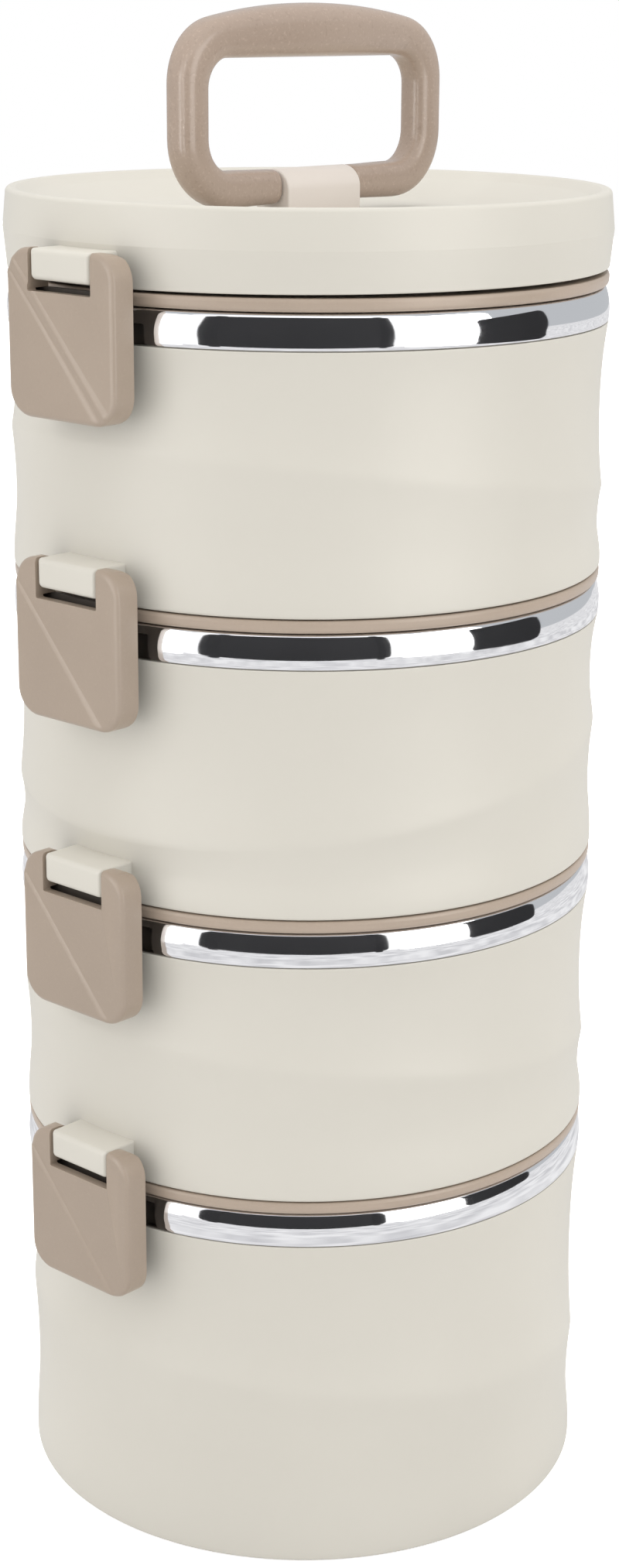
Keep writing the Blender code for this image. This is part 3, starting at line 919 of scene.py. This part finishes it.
def add_saddle(surface):
    """The arch over the handle's bar, with softened ends."""
    low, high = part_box("handle_saddle")
    half = high.y
    arch = half * 0.92
    spring = high.z - arch
    over = 1 * MM
    steps = 32
    outline = [(-half, low.z), (half, low.z)]
    for step in range(steps + 1):
        turn = math.pi * step / steps
        outline.append((half * math.cos(turn), spring + arch * math.sin(turn)))
    saddle = new_object("handle_saddle_moulding", prism(outline, low.x, high.x, "x"))
    soften(saddle, 0.45 * MM, 3)
    bore = prism(circle((0, BAR_Z), 2.9 * MM, 48), low.x - over, high.x + over, "x")
    combine(saddle, bore, "DIFFERENCE", 40)
    place(saddle, "lid", "handle_saddle", surface)


def add_screws(surface):
    """Pan-head screws with a cross recess and a ridged shank."""
    core, crest = 0.95 * MM, 1.2 * MM
    ridges = 7
    for word, _ in SIDES:
        name = f"saddle_screw_{word}"
        low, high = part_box(name)
        centre = centre_of(name)
        head = (high.x - low.x) / 2
        head_mid, head_top = low.z + 0.8 * MM, low.z + 1.6 * MM
        point = high.z - 0.6 * MM
        corners = [(0, low.z, 0), (head - 0.6 * MM, low.z, 0.4 * MM),
                   (head, head_mid, 0.4 * MM), (head, head_top, 0.1 * MM)]
        pitch = (point - head_top) / ridges
        for index in range(ridges):
            corners.append((core, head_top + index * pitch, 0))
            corners.append((crest, head_top + (index + 0.5) * pitch, 0))
        corners += [(core, point, 0), (0, high.z, 0)]
        screw = new_object(f"{name}_steel", turned(rounded(corners, 3), 40, centre))
        for half_x, half_y in ((1.5 * MM, 0.35 * MM), (0.35 * MM, 1.5 * MM)):
            recess = [(centre[0] + a * half_x, centre[1] + b * half_y)
                      for a, b in ((-1, -1), (1, -1), (1, 1), (-1, 1))]
            combine(screw, prism(recess, low.z - 1 * MM, head_mid, "z"), "DIFFERENCE")
        place(screw, "lid", name, surface)


def handle_stations():
    """Pairs of points inside and outside the loop, with the half depth across it.

    The right half runs from the middle of the bar round to the middle of the grip.
    """
    _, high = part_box("handle_loop")
    leg, bar, journal = 4.1 * MM, 3.85 * MM, 2.6 * MM       # radii
    half = high.x - 4.35 * MM           # from the middle to a leg's centre line
    under = high.z - 11.7 * MM          # underside of the grip
    bend = 11.2 * MM
    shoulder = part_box("handle_saddle")[1].x + 0.4 * MM
    fillet = 1.1 * MM
    stations = []

    def straight(x, size):
        stations.append(((x, BAR_Z + size), (x, BAR_Z - size), size))
    straight(0, journal)
    straight(shoulder - 0.01 * MM, journal)
    for turn in quarter(6):
        straight(shoulder + fillet * (1 - math.cos(turn)),
                 journal + (bar - journal) * (0.35 + 0.65 * math.sin(turn)))
    start, end = shoulder + fillet, half - bend
    for share in (step / 8 for step in range(1, 9)):
        straight(start + (end - start) * share, bar + (leg - bar) * ease(share))
    centre = (half - bend, BAR_Z + bend)
    for turn in quarter(14, 1):
        arm = (math.sin(turn), -math.cos(turn))
        stations.append(tuple((centre[0] + radius * arm[0], centre[1] + radius * arm[1])
                              for radius in (bend - leg, bend + leg)) + (leg,))

    # The grip's arched top meets the legs in a wide bend, its flat underside in a tight one.
    arch = 171.8 * MM
    wide, tight = 14.5 * MM, 6.6 * MM
    bend_swell, grip_swell = 0.5 * MM, 1.6 * MM
    wide_x = half + leg - wide
    tight_x = half - leg - tight
    lean = math.asin(wide_x / (arch - wide))
    wide_z = high.z - arch + (arch - wide) * math.cos(lean)
    tight_z = under - tight
    for share in (step / 18 for step in range(19)):
        inner = math.pi / 2 * share
        outer = (math.pi / 2 - lean) * share
        stations.append(((tight_x + tight * math.cos(inner), tight_z + tight * math.sin(inner)),
                         (wide_x + wide * math.cos(outer), wide_z + wide * math.sin(outer)),
                         leg + bend_swell * ease(share)))
    arch_x = wide_x + wide * math.sin(lean)
    for share in (1 - step / 16 for step in range(1, 17)):
        x = arch_x * share
        top = high.z - arch + math.sqrt(arch * arch - x * x)
        stations.append(((tight_x * share, under), (x, top),
                         leg + bend_swell + grip_swell * (1 - share * share)))
    return stations


def add_handle(surface):
    """Loop handle with a softly squared section."""
    right_half = handle_stations()
    left_half = [((-a[0], a[1]), (-b[0], b[1]), deep) for a, b, deep in right_half[1:-1]]
    steps = 40
    power = 2 / 2.8         # 1 would make the section an ellipse
    rings = []
    for inner, outer, deep in right_half + left_half[::-1]:
        centre = Vector(((inner[0] + outer[0]) / 2, 0, (inner[1] + outer[1]) / 2))
        arm = Vector(((outer[0] - inner[0]) / 2, 0, (outer[1] - inner[1]) / 2))
        ring = []
        for step in range(steps):
            turn = 2 * math.pi * step / steps
            out = math.copysign(abs(math.cos(turn)) ** power, math.cos(turn))
            side = math.copysign(abs(math.sin(turn)) ** power, math.sin(turn))
            ring.append(centre + arm * out + Vector((0, deep * side, 0)))
        rings.append(ring)
    handle = new_object("handle_loop_moulding", loft(rings, endless=True), smooth=50)
    place(handle, "handle", "handle_loop", surface)
    return handle


def add_foot_ring(surface):
    """Soft ring under the bottom tier."""
    low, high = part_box("foot_ring")
    outer = high.y
    outline = rectangle(outer - 8.5 * MM, low.z, outer, high.z, 0.4 * MM, 0.2 * MM, 4)
    ring = new_object("foot_ring_silicone", turned(outline))
    place(ring, "tier_4", "foot_ring", surface)


# Studio ---------------------------------------------------
AZIMUTH = math.radians(-47.5)
TOWARD = Vector((math.sin(AZIMUTH), -math.cos(AZIMUTH), 0))         # from carrier to camera
RIGHTWARD = Vector((math.cos(AZIMUTH), math.sin(AZIMUTH), 0))       # to the picture's right


def bearing(degrees, distance, height):
    """A point seen from the carrier, at an angle to the right of the camera."""
    turn = math.radians(degrees)
    flat = TOWARD * math.cos(turn) + RIGHTWARD * math.sin(turn)
    return flat * distance + Vector((0, 0, height))


def add_camera():
    """Camera that looks down at the carrier, with a trace of yaw and roll."""
    distance, height = 614.9 * MM, 356.4 * MM
    pitch, yaw, roll = math.radians(16.62), math.radians(0.08), math.radians(0.30)
    data = bpy.data.cameras.new("camera")
    data.lens = 60.25
    data.sensor_width = 36
    data.clip_start = 0.01
    camera = add_object("camera", data)
    flat = (-TOWARD * math.cos(yaw) + RIGHTWARD * math.sin(yaw)).normalized()
    forward = (flat * math.cos(pitch) + Vector((0, 0, -math.sin(pitch)))).normalized()
    right = forward.cross(Vector((0, 0, 1))).normalized()
    up = right.cross(forward)
    right, up = (right * math.cos(roll) + up * math.sin(roll),
                 up * math.cos(roll) - right * math.sin(roll))
    turn = Matrix((right, up, -forward)).transposed().to_4x4()
    camera.matrix_world = Matrix.Translation(TOWARD * distance + Vector((0, 0, height))) @ turn
    bpy.context.scene.camera = camera


def add_softbox(name, position, width, height, power):
    """Rectangular light aimed at the carrier's middle, which reflections don't show."""
    aim = (Vector((0, 0, 170 * MM)) - position).to_track_quat("-Z", "Y")
    data = bpy.data.lights.new(name, "AREA")
    data.shape = "RECTANGLE"
    data.size = width
    data.size_y = height
    data.energy = power
    light = add_object(name, data)
    light.matrix_world = Matrix.Translation(position) @ aim.to_matrix().to_4x4()
    light.visible_camera = False
    light.visible_glossy = False


def add_flag(name, degrees, distance, width, height, corner, glow=0.0, lights=()):
    """A dark studio flag, or with some glow a white card, that shows only in reflections.

    Where lights names some pieces, only they see the glow, and the rest see a dark flag.
    """
    outline = rectangle(-width / 2, 0, width / 2, height, corner, corner, 8)
    flag = new_object(name, prism(outline, 0, 5 * MM, "y"))
    centre = bearing(degrees, distance, 0)
    turn = math.atan2(centre.x, -centre.y)
    flag.matrix_world = Matrix.Translation(centre) @ Matrix.Rotation(turn, 4, "Z")
    surface = Surface("flag_cloth", (0.012, 0.012, 0.014), 0.9)
    surface.bump(surface.noise(300), 0.2, 0.4 * MM)
    surface.set("Emission Color", (1, 1, 1, 1))
    surface.set("Emission Strength", glow)
    flag.data.materials.append(surface.material)
    flag.visible_camera = False
    flag.visible_diffuse = False
    flag.visible_shadow = False
    if lights:
        lit = bpy.data.collections.new(f"{name}_lit")
        for thing in lights:
            lit.objects.link(thing)
        flag.light_linking.receiver_collection = lit


def chosen(tree, factor, first, second):
    """The first shader where a factor is 0, and the second where it is 1."""
    made = add_node(tree, "MixShader")
    for source, socket in zip((factor, first, second), made.inputs):
        tree.links.new(source, socket)
    return made.outputs[0]


def add_floor():
    """Pale floor that reads as the white backdrop, with only a faint contact shadow.

    It is clear from below, so that the carrier's underside can be seen, and the steel bands
    mirror it as a cloudy grey.
    """
    work = bmesh.new()
    bmesh.ops.create_grid(work, x_segments=2, y_segments=2, size=3.0)
    floor = new_object("studio_floor", work)
    floor.location.z = -0.1 * MM
    paper = (0.80, 0.80, 0.80)
    surface = Surface("studio_floor", paper, 0.6)
    tree = surface.tree
    surface.link(surface.mottled(paper, surface.noise(8, 2), 0.9875, 1.0125), "Base Color")
    path = add_node(tree, "LightPath")
    surface.set("Emission Color", (1, 1, 1, 1))
    surface.link(surface.grey(path.outputs["Is Camera Ray"], 0.0, 0.75), "Emission Strength")
    side = add_node(tree, "NewGeometry")
    clear = add_node(tree, "BsdfTransparent")
    mirrored = add_node(tree, "Emission")
    clouds = surface.ramp(surface.noise(14, 2),
                          [(0.35, (0.62, 0.62, 0.64)), (0.62, (0.90, 0.90, 0.91))])
    tree.links.new(clouds, mirrored.inputs["Color"])
    above = chosen(tree, path.outputs["Is Glossy Ray"], surface.shader.outputs[0],
                   mirrored.outputs[0])
    shown = chosen(tree, side.outputs["Backfacing"], above, clear.outputs[0])
    tree.links.new(shown, tree.nodes["Material Output"].inputs["Surface"])
    floor.data.materials.append(surface.material)


def add_world():
    """White backdrop for the camera, softer surroundings for light and reflections.

    The light is stronger from behind the carrier, off the white backdrop, than from in front.
    """
    world = bpy.data.worlds.new("studio")
    bpy.context.scene.world = world
    world.use_nodes = True
    tree = world.node_tree
    tree.nodes.clear()

    def background(colour, strength):
        made = add_node(tree, "Background", {"Color": (*colour, 1), "Strength": strength})
        return made.outputs[0]
    path = add_node(tree, "LightPath")
    way = add_node(tree, "TexCoord")
    forward = add_node(tree, "VectorMath")
    forward.operation = "DOT_PRODUCT"
    forward.inputs[1].default_value = TOWARD
    tree.links.new(way.outputs["Generated"], forward.inputs[0])
    level = add_node(tree, "MapRange", {"From Min": -1.0, "To Min": 1.60, "To Max": 0.72})
    tree.links.new(forward.outputs["Value"], level.inputs["Value"])
    fill = background((1.0, 0.99, 0.97), 1.0)
    tree.links.new(level.outputs["Result"], fill.node.inputs["Strength"])
    mirrored = background((0.93, 0.96, 1.0), 0.56)
    backdrop = background((1, 1, 1), 1.0)
    unseen = chosen(tree, path.outputs["Is Glossy Ray"], fill, mirrored)
    seen = chosen(tree, path.outputs["Is Camera Ray"], unseen, backdrop)
    out = add_node(tree, "OutputWorld")
    tree.links.new(seen, out.inputs["Surface"])


def add_studio(glossy):
    """Lights, flags and cards; glossy pieces alone see the bright strips."""
    bpy.context.scene.view_settings.view_transform = "Standard"
    add_floor()
    add_world()
    # Place, width, height and watts.
    add_softbox("left_softbox", bearing(-54, 0.85, 0.42), 0.30, 0.84, 0.8)
    add_softbox("right_softbox", bearing(53, 0.85, 0.42), 0.55, 0.84, 0.75)
    add_softbox("top_softbox", bearing(10, 0.25, 1.15), 0.9, 0.9, 3.3)
    # Degrees to the right of the camera, distance, width, height, corner radius and glow.
    add_flag("front_flag", -4.5, 0.80, 1.12, 0.88, 0.06)
    add_flag("front_card", -2.0, 0.83, 1.70, 1.25, 0.10, 1.2)
    add_flag("left_card", -57, 0.85, 0.33, 0.84, 0.04, 1.5)
    add_flag("ridge_card", -62, 0.84, 0.14, 0.60, 0.03, 5.5)
    add_flag("right_card", 53, 0.85, 0.55, 0.84, 0.04, 3.0)
    add_flag("right_flag", 80, 0.80, 0.48, 0.52, 0.05)
    add_flag("left_strip", -34, 0.78, 0.06, 0.84, 0.02, 8.0, glossy)
    add_flag("right_strip", 27, 0.78, 0.04, 0.84, 0.02, 7.0, glossy)


def build():
    """Make every piece, and return those that the bright strips light: clips and handle."""
    ivory = ivory_plastic("ivory_plastic", IVORY)
    # A lighter, pinker ivory for the saddle; the extra lightness is painted light.
    pink_lit_saddle_ivory = ivory_plastic("pink_lit_saddle_ivory", PINK_LIT_SADDLE_IVORY)
    satin_taupe = taupe_plastic("taupe_satin", TAUPE, 0.08, 0.33)
    # A lighter copy of the clip taupe: painted light on the sealing lids' flanges.
    lit_lid_taupe = taupe_plastic("taupe_lid_painted_light", LIT_LID_TAUPE, 0.08, 0.33)
    # A dark copy of the clip taupe: painted shade for the clips' hollow insides and backs.
    painted_shade_taupe = taupe_plastic("taupe_painted_shade", scaled(TAUPE, 0.22), 0.08, 0.6)
    flecked_taupe = taupe_plastic("taupe_flecked", HANDLE_TAUPE, 0.36, 0.23)
    chrome = mirror_steel()
    satin_steel = bowl_steel()
    soft = silicone()
    wire = drawn_steel()
    for tier in TIERS:
        add_shell(tier, ivory)
        add_bowl(tier, chrome, satin_steel)
        add_inner_lid(tier, lit_lid_taupe)
        add_seal(tier, soft)
        add_vent_plug(tier, soft)
    clips = add_clips(satin_taupe, painted_shade_taupe, wire)
    add_lid(ivory)
    add_lid_panel(ivory)
    add_saddle(pink_lit_saddle_ivory)
    add_screws(wire)
    handle = add_handle(flecked_taupe)
    add_foot_ring(soft)
    return [*clips, handle]


add_studio(build())
add_camera()
